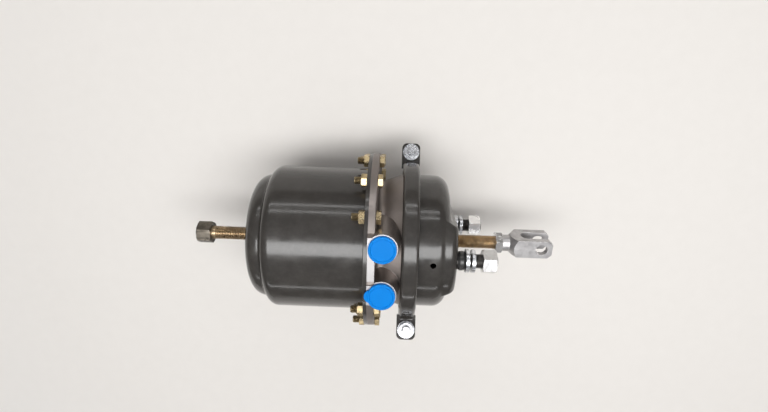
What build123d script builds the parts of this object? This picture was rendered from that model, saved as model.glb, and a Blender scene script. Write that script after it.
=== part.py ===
from build123d import *

import os
from math import asin, atan2, degrees, hypot, radians, sqrt, tan

# A spring brake chamber: a diaphragm service chamber and a spring parking chamber
# bolted back to back on one cast flange. Millimetres.
#
# The chamber's axis is X. The origin is where it crosses the mounting face, +X points
# out along the push rod, and +Z points along the air ports and the row of mounting studs.
# Stations along the axis are named x_..., and run from the mounting face (0) back to the
# release bolt. Radii are named ..._r, and diameters by their usual workshop names.

# ---- service housing, the drawn bowl with the mounting face
BOWL_OD = 157.0
BOWL_WALL = 3.2
BOWL_DEPTH = 46.9            # mounting face to the clamped lip
BOWL_CORNER = 16.0           # outer radius between the bowl's side and its end
PAD_RISE = 8.0               # mounting face above the bowl's end
PAD_WIDTH = 74.0             # mounting face across the stud row, before its edges are rounded
PAD_END_INSET = 4.5          # mounting face's ends, before they are rounded, from the bowl's side
PAD_DRAFT = 32.0             # slope of the pad's long sides, degrees
PAD_END_DRAFT = 7.0          # slope of its ends
PAD_BLEND = 5.0              # rounding round the mounting face
PAD_ROOT = 7.0               # hollow where the pad's sides meet the bowl's end
DRAIN_HOLE = 6.5
DRAIN_SETBACK = 27.0         # drain hole behind the mounting face

# ---- clamped joint between the bowl, the diaphragm and the cast flange
LIP = 10.8                   # width of the clamped lips, from the bowl's side out
CAST_LIP = 4.0
BEAD = 4.0                   # diaphragm bead, as clamped
BEAD_CLEARANCE = 0.25
SHEET_NOOK = 2.0             # concave radius where a pressed wall meets its lip
CLAMP_WALL = 3.6
CLAMP_LEG = 6.1              # how far the band reaches in over the lips
CLAMP_CLEARANCE = 0.15
CLAMP_ROUND = 4.0
CLAMP_GAP = 6.0              # between the two halves
CLAMP_TURN = -26.0           # clamp bolts about the axis, from the ports, degrees
CLAMP_BOLT_SETOUT = 13.45    # clamp bolts' centres outside the band
LUG_WIDTH = 22.0
LUG_WALL = 6.0
LUG_END = 11.5               # lug beyond the clamp bolt's centre
LUG_ROOT = 0.4               # where the lug starts, outside the band's bore
LUG_ROUND = 6.0
LUG_BEND = 3.0               # where the lug turns out of the band
CLAMP_BOLT = 10.0
CLAMP_BOLT_AF = 16.0
CLAMP_BOLT_HEAD = 6.4
CLAMP_BOLT_PROUD = 4.0       # bolt's end beyond its nut
CLAMP_NUT = 8.0
CLAMP_WASHER = 2.0
CLAMP_WASHER_OD = 20.0

# ---- cast flange between the two chambers
CASTING_LENGTH = 42.9        # bead face to the spring housing's face
RIM = 8.0
NECK_WAIST = 8.5             # how far the neck draws in from its wide end
NECK_SETBACK = 16.0          # waist's front end, from the spring housing's face
NECK_LIP_STEP = 9.3          # lip beyond the neck's wide end
WEB = 9.5                    # wall between the two chambers
CAVITY_R = 58.0              # service cavity at its floor
CAVITY_EDGE = 9.5            # cavity's mouth inside the lip's edge
CAVITY_SHOULDER = 5.0        # depth of the steep part below the mouth
CAVITY_SHOULDER_STEP = 2.8   # and how far it draws in
HUB_OD = 50.0
HUB_RISE = 5.0               # rod hub into the spring chamber
CASTING_FILLET = 5.0
RIM_ROUND = 1.5
NECK_BEND = 12.0

# ---- air ports
PORT_SPACING = 52.0
PORT_SETBACK = 15.7          # ports' centres, from the spring housing's face
PORT_STEP = 2.0              # port faces below the rim's top
PORT_BOSS = 32.0
PORT_DRAFT = 7.0
PORT_THREAD = 20.5
PORT_THREAD_DEPTH = 17.0
PORT_PASSAGE = 11.0
PARKING_PASSAGE = 9.0        # cross drilling to the spring chamber
PARKING_PASSAGE_Z = 70.0
PORT_LAND_HALF = 37.5        # half length of the machined land over both ports
PORT_LAND_DRAFT = 25.0       # slope of its ends, degrees
PORT_NOTCH = 4.5             # notch in the land
PORT_NOTCH_SETOUT = 13.25    # its middle from the parking port's centre
PORT_NOTCH_DEPTH = 2.5
CAP_OD = 29.5
CAP_HEIGHT = 4.2
CAP_RIM = 2.2
CAP_DISH = 1.0
CAP_SPIGOT = 12.0
CAP_WALL = 1.8
CAP_CLEARANCE = 0.15
CAP_ROUND = 1.0
CAP_TAB_REACH = 18.0         # pull tab's end from the centre of the parking port's cap
CAP_TAB = 15.0               # its width
CAP_TAB_RAISE = 1.6          # its underside above the port's face
CAP_TAB_THICK = 1.5

# ---- flange bolts
FLANGE_BOLT = 8.0
FLANGE_BOLT_SETOUT = 12.5    # bolt circle outside the spring housing's side
FLANGE_EDGE = 6.0            # rim beyond the bolt circle
FLANGE_BOLT_UNDER_HEAD = 26.0
FLANGE_BOLT_AF = 13.0
FLANGE_BOLT_HEAD = 5.3
FLANGE_NUT = 6.3
FLANGE_BOLT_STEP = 26.67     # degrees from bolt to bolt, away from the ports
FLANGE_BOLTS_A_SIDE = 6
HOLE_CLEARANCE = 0.3         # round a bolt, in its hole
FACE_CLEARANCE = 0.02        # between faces that are screwed together
HEX_CHAMFER = 0.06           # turned off a hexagon's corners, as a share of its size
END_CHAMFER = 0.1            # at the end of a thread, as a share of its diameter

# ---- spring housing
HOUSING_OD = 169.0
HOUSING_WALL = 4.0
HOUSING_DEPTH = 138.0        # face to the end of the dome
HOUSING_CORNER = 12.0        # rounding at the shoulder
SHOULDER = 6.3               # length of the slope from the shoulder to the crease
CREASE_SETBACK = 18.5        # crease behind the end of the dome
CREASE_BEND = 1.5
DOME_STEP = 11.0             # dome inside the housing's side
DOME_CORNER = 17.0
SEAL_CORD = 3.0
SEAL_EDGE = 1.5              # between the cord and the bolts' holes
SEAL_CLEARANCE = 0.2         # beside the cord in its groove

# ---- release bolt and its nut in the dome
RELEASE_BOLT = 16.0
RELEASE_AF = 24.0
RELEASE_HEAD = 17.0
RELEASE_STROKE = 56.0        # shown wound out, by this much
RELEASE_NUT_OD = 38.0
RELEASE_NUT = 17.0
RELEASE_SPIGOT = 24.0
RELEASE_PROUD = 0.5          # spigot outside the dome
RELEASE_SEAT = 0.3           # left under the head when it is wound in
THREAD_CLEARANCE = 0.05
FOOT_OD = 23.6
FOOT = 8.0
THRUST_WASHER = 2.4
THRUST_CLEARANCE = 0.2

# ---- parking piston, shown caged by the release bolt
PISTON_SETBACK = 63.0        # front of the web, behind the flange's face
PISTON_WEB = 5.0
PISTON_CLEARANCE = 0.6
PISTON_SKIRT_FRONT = 3.0     # skirt beyond the front of the web
PISTON_SKIRT = 20.0
PISTON_SKIRT_WALL = 9.0
PISTON_HUB_OD = 46.0
PISTON_FILLET = 3.0
COLLAR = 10.0                # wall that the release bolt's foot pulls on
COLLAR_CLEARANCE = 0.5
SEAL_GROOVE = 5.0
GUIDE_GROOVE = 6.0
GROOVE_LAND = 2.5
GROOVE_DEPTH = 4.5
SLIDING_FIT = 0.05
TUBE_OD = 32.0
TUBE_WALL = 3.5
TUBE_SEAT = 2.0              # tube's end in the web, in front of the web's back
THRUST_PAD_OD = 42.0
THRUST_PAD = 3.5
PAD_PLUG = 6.0
BUSH_WALL = 2.5
BUSH_SETBACK = 1.5
BUSH_LENGTH = 7.0
ROD_SEAL = 4.0

# ---- power spring, compressed
POWER_WIRE = 11.5
POWER_TURNS = 4.4
POWER_SMALL_R = 43.0
POWER_SIDE_GAP = 10.75       # between the widest turn and the housing's bore
SPRING_CLEARANCE = 0.15

# ---- diaphragm, push plate and return spring
DIAPHRAGM = 3.6
DIAPHRAGM_FLAT_R = 52.0
DIAPHRAGM_X = -80.0          # back of the diaphragm's flat
DIAPHRAGM_CLEARANCE = 1.25   # round the diaphragm, in the cavity's mouth
PLATE_GAP = 0.25
PLATE_OD = 98.0
PLATE_WALL = 3.0
PLATE_CURL = 5.0
PLATE_BEND = 5.0
WELD_COLLAR = 4.0            # round the push rod's foot, and its height
RETURN_WIRE = 4.2
RETURN_TURNS = 6.0
RETURN_SMALL_R = 20.0
RETURN_LARGE_R = 31.0

# ---- push rod and clevis
PUSH_ROD = 16.0
GUIDE_CLEARANCE = 0.35
GUIDE_WALL = 6.0
GUIDE_FLANGE = 3.2
GUIDE_FLANGE_THICK = 2.6
LOCK_NUT_X = 51.5
LOCK_NUT_AF = 24.0
LOCK_NUT = 8.0
CLEVIS_NECK_OD = 20.0
CLEVIS_NECK = 9.0
CLEVIS_CONE = 4.0
CLEVIS_EDGE = 1.0            # chamfer at the neck's end
CLEVIS_WIDTH = 22.5
CLEVIS_DEPTH = 29.0          # over both ears
CLEVIS_SLOT = 15.0
CLEVIS_SLOT_X = 82.0
CLEVIS_PIN = 14.0
CLEVIS_PIN_X = 105.5
CLEVIS_END = 12.5            # ears beyond the pin's centre
CLEVIS_CHAMFER = 4.5
CLEVIS_TURN = 10.0           # pin about the axis, from the ports, degrees
ROD_END_X = 78.0

# ---- mounting studs
STUD = 16.0
STUD_SPACING = 120.65
STUD_LENGTH = 44.0           # beyond the mounting face
STUD_HEAD_OD = 25.0
STUD_HEAD = 4.0
STUD_NUT_AF = 24.0
STUD_NUT = 15.0
STUD_NUT_X = 27.3
STUD_COLLAR_OD = 21.5
STUD_COLLAR = 9.0
STUD_COLLAR_TAPER = 2.7      # length of the collar's sloped ends
STUD_COLLAR_SWELL = 1.6
STUD_WASHER_OD = 25.5
STUD_WASHER = 3.8
STUD_WASHER_GAP = 2.6
STUD_CLEARANCE = 0.1

SAME_PLACE = 0.01            # edges this near a level lie in it

# ---- stations and radii that follow from the sizes above
x_bowl_end = -PAD_RISE
x_lip = -BOWL_DEPTH
x_bead_front = x_lip - BOWL_WALL
x_bead_back = x_bead_front - BEAD
x_cast_lip = x_bead_back - CAST_LIP
x_clamp = (x_cast_lip + x_lip) / 2
x_mate = x_bead_back - CASTING_LENGTH
x_rim = x_mate + RIM
x_neck = x_mate + NECK_SETBACK
x_floor = x_mate + WEB
x_hub = x_mate - HUB_RISE
x_port = x_mate + PORT_SETBACK
x_housing_flange = x_mate - HOUSING_WALL
x_dome = x_mate - HOUSING_DEPTH
x_dome_inside = x_dome + HOUSING_WALL
x_crease = x_dome + CREASE_SETBACK
x_piston = x_mate - PISTON_SETBACK
x_web_back = x_piston - PISTON_WEB
x_guide_groove = x_piston + PISTON_SKIRT_FRONT - PISTON_SKIRT + GROOVE_LAND
x_seal_groove = x_piston + PISTON_SKIRT_FRONT - GROOVE_LAND - SEAL_GROOVE
x_tube_seat = x_web_back + TUBE_SEAT
x_collar_back = x_tube_seat - COLLAR
x_foot = x_tube_seat + THRUST_WASHER + 2 * THRUST_CLEARANCE
x_head = x_dome - RELEASE_PROUD - RELEASE_SEAT - RELEASE_STROKE
x_thrust_pad = DIAPHRAGM_X - PLATE_GAP - THRUST_PAD
x_plate = DIAPHRAGM_X + DIAPHRAGM + PLATE_GAP
x_clevis = LOCK_NUT_X + LOCK_NUT + FACE_CLEARANCE

bowl_r = BOWL_OD / 2
pad_end_r = bowl_r - PAD_END_INSET
lip_r = bowl_r + LIP
cavity_mouth_r = lip_r - CAVITY_EDGE
neck_lip_r = lip_r - NECK_LIP_STEP
waist_r = neck_lip_r - NECK_WAIST
housing_r = HOUSING_OD / 2
housing_bore_r = housing_r - HOUSING_WALL
dome_r = housing_r - DOME_STEP
flange_bolt_r = housing_r + FLANGE_BOLT_SETOUT
flange_hole_r = FLANGE_BOLT / 2 + HOLE_CLEARANCE
rim_r = flange_bolt_r + FLANGE_EDGE
z_port = rim_r - PORT_STEP
seal_r = flange_bolt_r - flange_hole_r - SEAL_EDGE
power_large_r = housing_bore_r - POWER_SIDE_GAP - POWER_WIRE / 2
piston_r = housing_bore_r - PISTON_CLEARANCE
tube_r = TUBE_OD / 2
hub_bore_r = tube_r + SLIDING_FIT + BUSH_WALL
clamp_bore_r = lip_r + CLAMP_CLEARANCE
clamp_leg_r = lip_r - CLAMP_LEG
clamp_r = clamp_bore_r + CLAMP_WALL
clamp_bolt_r = clamp_r + CLAMP_BOLT_SETOUT
guide_r = PUSH_ROD / 2 + GUIDE_CLEARANCE + GUIDE_WALL
stud_hole_r = STUD / 2 + STUD_CLEARANCE
seal_groove_r = seal_r - SEAL_CORD - SEAL_CLEARANCE
lug_face = CLAMP_GAP / 2 + LUG_WALL
weld_collar_r = PUSH_ROD / 2 + WELD_COLLAR


# ---- drawing helpers

def turned(points, rounds=(), arc=360):
    """Solid of revolution about X from an outline of (x, radius) points.

    Each of rounds is (x, radius, fillet): the corner there is rounded by that fillet.
    """
    outline = make_face(Polyline(*points, close=True))
    for x, r, fillet_r in rounds:
        corner = outline.vertices().sort_by_distance((x, r, 0))[0]
        outline = fillet(corner, fillet_r)
    return revolve(outline, Axis.X, arc)


def slug(sketch, x_from, x_to):
    """A sketch in the YZ plane, extruded from one station to another."""
    return extrude(Plane.YZ.offset(x_from) * sketch, amount=x_to - x_from)


def rod(r, x_from, x_to):
    return slug(Circle(r), x_from, x_to)


def ring(r_inside, r_outside, x_from, x_to):
    return slug(Circle(r_outside) - Circle(r_inside), x_from, x_to)


def hexagon(across_flats, x_from, x_to):
    """Hexagonal prism along X, its corners turned off by a cone at both ends."""
    prism = slug(RegularPolygon(across_flats / 2, 6, major_radius=False), x_from, x_to)
    corner_r = across_flats / sqrt(3)
    turned_off = HEX_CHAMFER * across_flats
    cone = turned(
        [
            (x_from, 0),
            (x_from, corner_r - turned_off),
            (x_from + turned_off / 2, corner_r),
            (x_to - turned_off / 2, corner_r),
            (x_to, corner_r - turned_off),
            (x_to, 0),
        ]
    )
    return prism & cone


def drafted(angle):
    """How far a face that slopes by an angle moves sideways for each millimetre along."""
    return tan(radians(angle))


def pressed(skin, wall, bends):
    """Ring pressed from sheet: skin is its outline on one side, the wall is to its left.

    bends holds the bend's radius on the skin at each corner. The wall's far side takes the
    same bend, larger or smaller by the wall.
    """
    legs = [(Vector(*b) - Vector(*a)).normalized() for a, b in zip(skin, skin[1:])]
    across = [Vector(-leg.Y, leg.X) * wall for leg in legs]
    far, rounds = [Vector(*skin[0]) + across[0]], []
    for i, bend in enumerate(bends):
        near_corner = Vector(*skin[i + 1])
        bisector = across[i] + across[i + 1]
        far_corner = near_corner + bisector * (1 / (1 + across[i].dot(across[i + 1]) / wall**2))
        turns_left = legs[i].cross(legs[i + 1]).Z > 0
        far.append(far_corner)
        rounds.append((near_corner.X, near_corner.Y, bend))
        rounds.append((far_corner.X, far_corner.Y, bend - wall if turns_left else bend + wall))
    far.append(Vector(*skin[-1]) + across[-1])
    return turned(skin + [(p.X, p.Y) for p in reversed(far)], rounds)


def coil(r_from, r_to, x_from, x_to, turns, wire):
    """Round wire wound on a cone about X, between two stations of its centre line."""
    length = x_to - x_from
    slope = degrees(atan2(r_to - r_from, length))
    line = Helix(pitch=length / turns, height=length, radius=r_from, cone_angle=slope)
    section = Plane(origin=line @ 0, z_dir=line % 0) * Circle(wire / 2)
    return Pos(X=x_from) * Rot(Y=90) * sweep(section, path=line, is_frenet=True)


def round_flange(solid):
    """Copies of a solid that lies on the axis, one at each flange bolt.

    The bolts stand evenly on both sides of the axis. None stands between the ports.
    """
    first = 180 - FLANGE_BOLT_STEP * (FLANGE_BOLTS_A_SIDE - 0.5)
    angles = [first + i * FLANGE_BOLT_STEP for i in range(FLANGE_BOLTS_A_SIDE)]
    return [Rot(X=side * a) * Pos(Z=flange_bolt_r) * solid for a in angles for side in (1, -1)]


def on_studs(solid):
    """Copies of a solid that lies on the axis, one at each mounting stud."""
    return [Pos(Z=side * STUD_SPACING / 2) * solid for side in (1, -1)]


def upright(solid):
    """A solid that lies along X, stood along Z."""
    return Rot(Y=-90) * solid


def group(solids):
    """Separate solids that share one node."""
    return Compound(children=[piece for solid in solids for piece in solid.solids()])


# ---- service chamber

def bowl_form(mouth, inset=0.0):
    """The bowl and its raised pad as one full form, inset by the wall for its inside.

    mouth is the outline from the axis to the bowl's side, at the open end.
    """
    r, x_end, x_top = bowl_r - inset, x_bowl_end - inset, -inset
    cup = turned(mouth + [(x_end, r), (x_end, 0)], [(x_end, r, BOWL_CORNER - inset)])
    x_base = x_end - BOWL_CORNER
    drop = x_top - x_base
    half = PAD_WIDTH / 2 - inset * drafted(45 - PAD_DRAFT / 2)
    foot = half + drop * drafted(PAD_DRAFT)
    ridge = Polyline((x_top, half), (x_base, foot), (x_base, -foot), (x_top, -half), close=True)
    end_r = pad_end_r - inset * drafted(45 - PAD_END_DRAFT / 2)
    foot_r = end_r + drop * drafted(PAD_END_DRAFT)
    envelope = turned(
        [(x_base, 0), (x_base, foot_r), (x_top, end_r), (x_top, 0)],
        [(x_top, end_r, 2 * PAD_BLEND - inset)],
    )
    form = cup + (extrude(make_face(ridge), amount=bowl_r, both=True) & envelope)
    for x, radius in ((x_top, PAD_BLEND - inset / 2), (x_end, PAD_ROOT + inset)):
        straight = form.edges().filter_by(GeomType.LINE)
        form = fillet(straight.filter_by_position(Axis.X, x - SAME_PLACE, x + SAME_PLACE), radius)
    return form


def service_housing():
    """Drawn steel bowl: rolled lip, rounded end, and the raised pad of the mounting face."""
    bore_r = bowl_r - BOWL_WALL
    flare = SHEET_NOOK + BOWL_WALL
    outside = [(x_bead_front, 0), (x_bead_front, lip_r), (x_lip, lip_r), (x_lip, bowl_r)]
    inside = [(x_bead_front, 0), (x_bead_front, bore_r + flare), (x_bead_front + flare, bore_r)]
    housing = bowl_form(outside) - bowl_form(inside, BOWL_WALL)
    housing -= rod(guide_r, x_bowl_end, 0)
    housing -= on_studs(rod(stud_hole_r, x_bowl_end, 0))
    drain = Pos(X=-DRAIN_SETBACK) * extrude(Circle(DRAIN_HOLE / 2), amount=BOWL_OD)
    return housing - drain


def rod_guide():
    """Grooved plastic guide snapped into the bowl's end, with the push rod loose in it."""
    bore = PUSH_ROD / 2 + GUIDE_CLEARANCE
    rim = guide_r + GUIDE_FLANGE
    waist = guide_r - FACE_CLEARANCE
    x_in, x_out = -BOWL_WALL - FACE_CLEARANCE, FACE_CLEARANCE
    return turned(
        [
            (x_in - GUIDE_FLANGE_THICK, bore),
            (x_in - GUIDE_FLANGE_THICK, rim),
            (x_in, rim),
            (x_in, waist),
            (x_out, waist),
            (x_out, rim),
            (x_out + GUIDE_FLANGE_THICK / 2, rim),
            (x_out + GUIDE_FLANGE_THICK, bore + GUIDE_FLANGE),
            (x_out + GUIDE_FLANGE_THICK, bore),
        ]
    )


def diaphragm():
    """Moulded rubber cup with a flat centre and a square bead clamped between the lips."""
    bead_r = lip_r - BEAD_CLEARANCE
    x_front = DIAPHRAGM_X + DIAPHRAGM
    x_back_bead, x_front_bead = x_bead_back + FACE_CLEARANCE, x_bead_front - FACE_CLEARANCE
    mouth_r = cavity_mouth_r - DIAPHRAGM_CLEARANCE
    return turned(
        [
            (DIAPHRAGM_X, 0),
            (DIAPHRAGM_X, DIAPHRAGM_FLAT_R + DIAPHRAGM / 2),
            (x_back_bead, mouth_r),
            (x_back_bead, bead_r),
            (x_front_bead, bead_r),
            (x_front_bead, mouth_r - DIAPHRAGM / 2),
            (x_front, DIAPHRAGM_FLAT_R - DIAPHRAGM / 2),
            (x_front, 0),
        ],
        [
            (DIAPHRAGM_X, DIAPHRAGM_FLAT_R + DIAPHRAGM / 2, 2 * DIAPHRAGM),
            (x_front, DIAPHRAGM_FLAT_R - DIAPHRAGM / 2, DIAPHRAGM),
        ],
    )


def push_plate():
    """Pressed disc that bears on the diaphragm, its edge curled forward."""
    plate_r = PLATE_OD / 2
    flat_r = plate_r - PLATE_CURL
    skin = [(x_plate + PLATE_CURL, plate_r), (x_plate, flat_r), (x_plate, weld_collar_r)]
    return pressed(skin, PLATE_WALL, [PLATE_BEND])


def push_rod():
    """Threaded rod with a weld collar where it stands on the push plate."""
    r = PUSH_ROD / 2
    x_front = x_plate + PLATE_WALL
    return turned(
        [
            (x_plate, 0),
            (x_plate, weld_collar_r - FACE_CLEARANCE),
            (x_front, weld_collar_r - FACE_CLEARANCE),
            (x_front + WELD_COLLAR, r),
            (ROD_END_X - END_CHAMFER * PUSH_ROD, r),
            (ROD_END_X, r - END_CHAMFER * PUSH_ROD),
            (ROD_END_X, 0),
        ]
    )


def return_spring():
    half_wire = RETURN_WIRE / 2 + SPRING_CLEARANCE
    x_from = x_plate + PLATE_WALL + half_wire
    return coil(RETURN_SMALL_R, RETURN_LARGE_R, x_from, -BOWL_WALL - half_wire, RETURN_TURNS, RETURN_WIRE)


def lock_nut():
    nut = hexagon(LOCK_NUT_AF, LOCK_NUT_X, LOCK_NUT_X + LOCK_NUT)
    return Rot(X=CLEVIS_TURN) * nut - rod(PUSH_ROD / 2 + THREAD_CLEARANCE, LOCK_NUT_X, x_clevis)


def clevis():
    """Fork turned and milled from one bar: a neck, a cone, and two ears with cut corners."""
    x_cone = x_clevis + CLEVIS_NECK
    x_block = x_cone + CLEVIS_CONE
    x_end = CLEVIS_PIN_X + CLEVIS_END
    neck_r = CLEVIS_NECK_OD / 2
    corner_r = hypot(CLEVIS_WIDTH, CLEVIS_DEPTH) / 2
    turned_bar = turned(
        [
            (x_clevis, 0),
            (x_clevis, neck_r - CLEVIS_EDGE),
            (x_clevis + CLEVIS_EDGE, neck_r),
            (x_cone, neck_r),
            (x_block, neck_r + CLEVIS_CONE),
            (x_end, neck_r + CLEVIS_CONE + (x_end - x_block)),
            (x_end, 0),
        ]
    )
    side = make_face(
        Polyline(
            (x_clevis, -CLEVIS_WIDTH / 2),
            (x_end - CLEVIS_CHAMFER, -CLEVIS_WIDTH / 2),
            (x_end, -CLEVIS_WIDTH / 2 + CLEVIS_CHAMFER),
            (x_end, CLEVIS_WIDTH / 2 - CLEVIS_CHAMFER),
            (x_end - CLEVIS_CHAMFER, CLEVIS_WIDTH / 2),
            (x_clevis, CLEVIS_WIDTH / 2),
            close=True,
        )
    )
    bar = extrude(side, amount=CLEVIS_DEPTH / 2, both=True) & turned_bar
    slot_end = Rot(X=90) * Pos(X=CLEVIS_SLOT_X + CLEVIS_SLOT / 2) * Circle(CLEVIS_SLOT / 2)
    slot = extrude(slot_end, amount=corner_r, both=True)
    slot += Pos(X=CLEVIS_SLOT_X + CLEVIS_SLOT / 2) * Box(
        x_end, 2 * corner_r, CLEVIS_SLOT, align=(Align.MIN, Align.CENTER, Align.CENTER)
    )
    pin_hole = Pos(X=CLEVIS_PIN_X) * Cylinder(CLEVIS_PIN / 2, 2 * CLEVIS_DEPTH)
    bore = rod(PUSH_ROD / 2 + THREAD_CLEARANCE, x_clevis, CLEVIS_SLOT_X + CLEVIS_SLOT / 2)
    return Rot(X=CLEVIS_TURN) * (bar - slot - pin_hole - bore)


# ---- mounting studs

def mounting_studs():
    """Two studs pressed through the bowl's end from inside, their heads fitted to its corner."""
    r = STUD / 2
    x_seat = -BOWL_WALL - FACE_CLEARANCE
    heads = group(on_studs(rod(STUD_HEAD_OD / 2, x_seat - STUD_HEAD, 0)))
    heads &= bowl_form([(x_lip, 0), (x_lip, bowl_r + x_seat)], -x_seat)
    shank = rod(r, x_seat - STUD_HEAD, STUD_LENGTH)
    shank = chamfer(shank.faces().sort_by(Axis.X)[-1].edges(), END_CHAMFER * STUD)
    return group([heads + on_studs(shank)])


def stud_collars():
    """Barrel-shaped collars at the foot of both studs."""
    collar_r = STUD_COLLAR_OD / 2
    waist = collar_r - STUD_COLLAR_SWELL
    x_end = STUD_COLLAR + FACE_CLEARANCE
    collar = turned(
        [
            (FACE_CLEARANCE, stud_hole_r),
            (FACE_CLEARANCE, waist),
            (STUD_COLLAR_TAPER, collar_r),
            (STUD_COLLAR - STUD_COLLAR_TAPER, collar_r),
            (x_end, waist),
            (x_end, stud_hole_r),
        ]
    )
    return group(on_studs(collar))


def stud_washers():
    """Two spring washers on each stud, a little apart, as they come with the nuts run off."""
    first = STUD_COLLAR + 2 * FACE_CLEARANCE
    second = first + STUD_WASHER + STUD_WASHER_GAP
    washers = [
        washer
        for x in (first, second)
        for washer in on_studs(ring(stud_hole_r, STUD_WASHER_OD / 2, x, x + STUD_WASHER))
    ]
    return group(washers)


def stud_nuts():
    nut = hexagon(STUD_NUT_AF, STUD_NUT_X, STUD_NUT_X + STUD_NUT)
    nut -= rod(STUD / 2 + THREAD_CLEARANCE, STUD_NUT_X, STUD_LENGTH)
    return group(on_studs(nut))


# ---- clamp ring

def lug_bend():
    """Section across the axis of the bend where a lug turns out of the band."""
    z = lug_face + LUG_BEND
    y = sqrt((clamp_r + LUG_BEND) ** 2 - z**2)
    on_skin = clamp_r / (clamp_r + LUG_BEND)
    in_wall = (clamp_r - CLAMP_WALL / 2) / (clamp_r + LUG_BEND)
    corner = [
        (y, lug_face),
        (y, lug_face - LUG_WALL / 2),
        (y * in_wall, lug_face - LUG_WALL / 2),
        (y * in_wall, z * in_wall),
        (y * on_skin, z * on_skin),
    ]
    return make_face(Polyline(*corner, close=True)) - Pos(y, z) * Circle(LUG_BEND)


def clamp_half(turn):
    """Half of the clamp ring: a channel over both lips, with a lug for each clamp bolt.

    turn is 0 for the half on the ports' side and 180 for the other.
    """
    x_back, x_front = x_cast_lip - CLAMP_CLEARANCE, x_lip + CLAMP_CLEARANCE
    gap_angle = degrees(asin(CLAMP_GAP / 2 / clamp_bore_r))
    band = turned(
        [
            (x_back - CLAMP_WALL, clamp_leg_r),
            (x_back - CLAMP_WALL, clamp_r),
            (x_front + CLAMP_WALL, clamp_r),
            (x_front + CLAMP_WALL, clamp_leg_r),
            (x_front, clamp_leg_r),
            (x_front, clamp_bore_r),
            (x_back, clamp_bore_r),
            (x_back, clamp_leg_r),
        ],
        [(x_back - CLAMP_WALL, clamp_r, CLAMP_ROUND), (x_front + CLAMP_WALL, clamp_r, CLAMP_ROUND)],
        arc=180 - 2 * gap_angle,
    )
    length = clamp_bolt_r + LUG_END - clamp_bore_r - LUG_ROOT
    blank = Rectangle(LUG_WIDTH, length, align=(Align.CENTER, Align.MIN))
    blank = fillet(blank.vertices().group_by(Axis.Y)[-1], LUG_ROUND)
    blank -= Pos(Y=length - LUG_END) * Circle(CLAMP_BOLT / 2 + HOLE_CLEARANCE)
    lug = Pos(x_clamp, clamp_bore_r + LUG_ROOT, CLAMP_GAP / 2) * extrude(blank, amount=LUG_WALL)
    lug += slug(lug_bend(), x_back - CLAMP_WALL + CLAMP_ROUND / 2, x_front + CLAMP_WALL - CLAMP_ROUND / 2)
    half = Rot(X=gap_angle) * band + lug + mirror(lug, Plane.XZ)
    return Rot(X=CLAMP_TURN + turn) * half


def on_clamp_bolts(solid):
    """Copies of a solid that lies along the axis, stood in each lug's hole."""
    return [
        Rot(X=CLAMP_TURN) * Pos(x_clamp, side * clamp_bolt_r, 0) * upright(solid) for side in (1, -1)
    ]


def clamp_bolts():
    """Hexagon bolts through both lugs, their heads on the side away from the ports."""
    under_head = -lug_face - CLAMP_WASHER - 2 * FACE_CLEARANCE
    tip = lug_face + CLAMP_WASHER + CLAMP_NUT + CLAMP_BOLT_PROUD
    bolt = hexagon(CLAMP_BOLT_AF, under_head - CLAMP_BOLT_HEAD, under_head)
    bolt += rod(CLAMP_BOLT / 2, under_head, tip)
    bolt = chamfer(bolt.faces().sort_by(Axis.X)[-1].edges(), END_CHAMFER * CLAMP_BOLT)
    return group(on_clamp_bolts(bolt))


def clamp_washers():
    washer = ring(CLAMP_BOLT / 2 + HOLE_CLEARANCE, CLAMP_WASHER_OD / 2, 0, CLAMP_WASHER)
    near = lug_face + FACE_CLEARANCE
    return group(
        on_clamp_bolts(Pos(X=near) * washer) + on_clamp_bolts(Pos(X=-near - CLAMP_WASHER) * washer)
    )


def clamp_nuts():
    x_seat = lug_face + CLAMP_WASHER + 2 * FACE_CLEARANCE
    nut = hexagon(CLAMP_BOLT_AF, x_seat, x_seat + CLAMP_NUT)
    nut -= rod(CLAMP_BOLT / 2 + THREAD_CLEARANCE, x_seat, x_seat + CLAMP_NUT)
    return group(on_clamp_bolts(nut))


# ---- cast flange between the chambers

def port_boss(y):
    """Drafted boss under an air port, flush with the flange's face."""
    face = Plane.XY.offset(z_port) * Pos(x_port, y) * Circle(PORT_BOSS / 2)
    boss = extrude(face, amount=-z_port / 2, taper=-PORT_DRAFT)
    return boss - Pos(x_mate, y) * Box(
        PORT_BOSS, 2 * PORT_BOSS, 3 * z_port, align=(Align.MAX, Align.CENTER, Align.CENTER)
    )


def port_land(z_from, z_to):
    """Block over the rim, as long as the machined land that both ports share."""
    end_from = PORT_LAND_HALF + (z_port - z_from) * drafted(PORT_LAND_DRAFT)
    end_to = PORT_LAND_HALF + (z_port - z_to) * drafted(PORT_LAND_DRAFT)
    ends = [(end_to, z_to), (end_from, z_from), (-end_from, z_from), (-end_to, z_to)]
    return slug(make_face(Polyline(*ends, close=True)), x_mate, x_rim)


def drilling(x, y, r, z_from, z_to):
    return Pos(x, y, z_from) * Cylinder(r, z_to - z_from, align=(Align.CENTER, Align.CENTER, Align.MIN))


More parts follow.
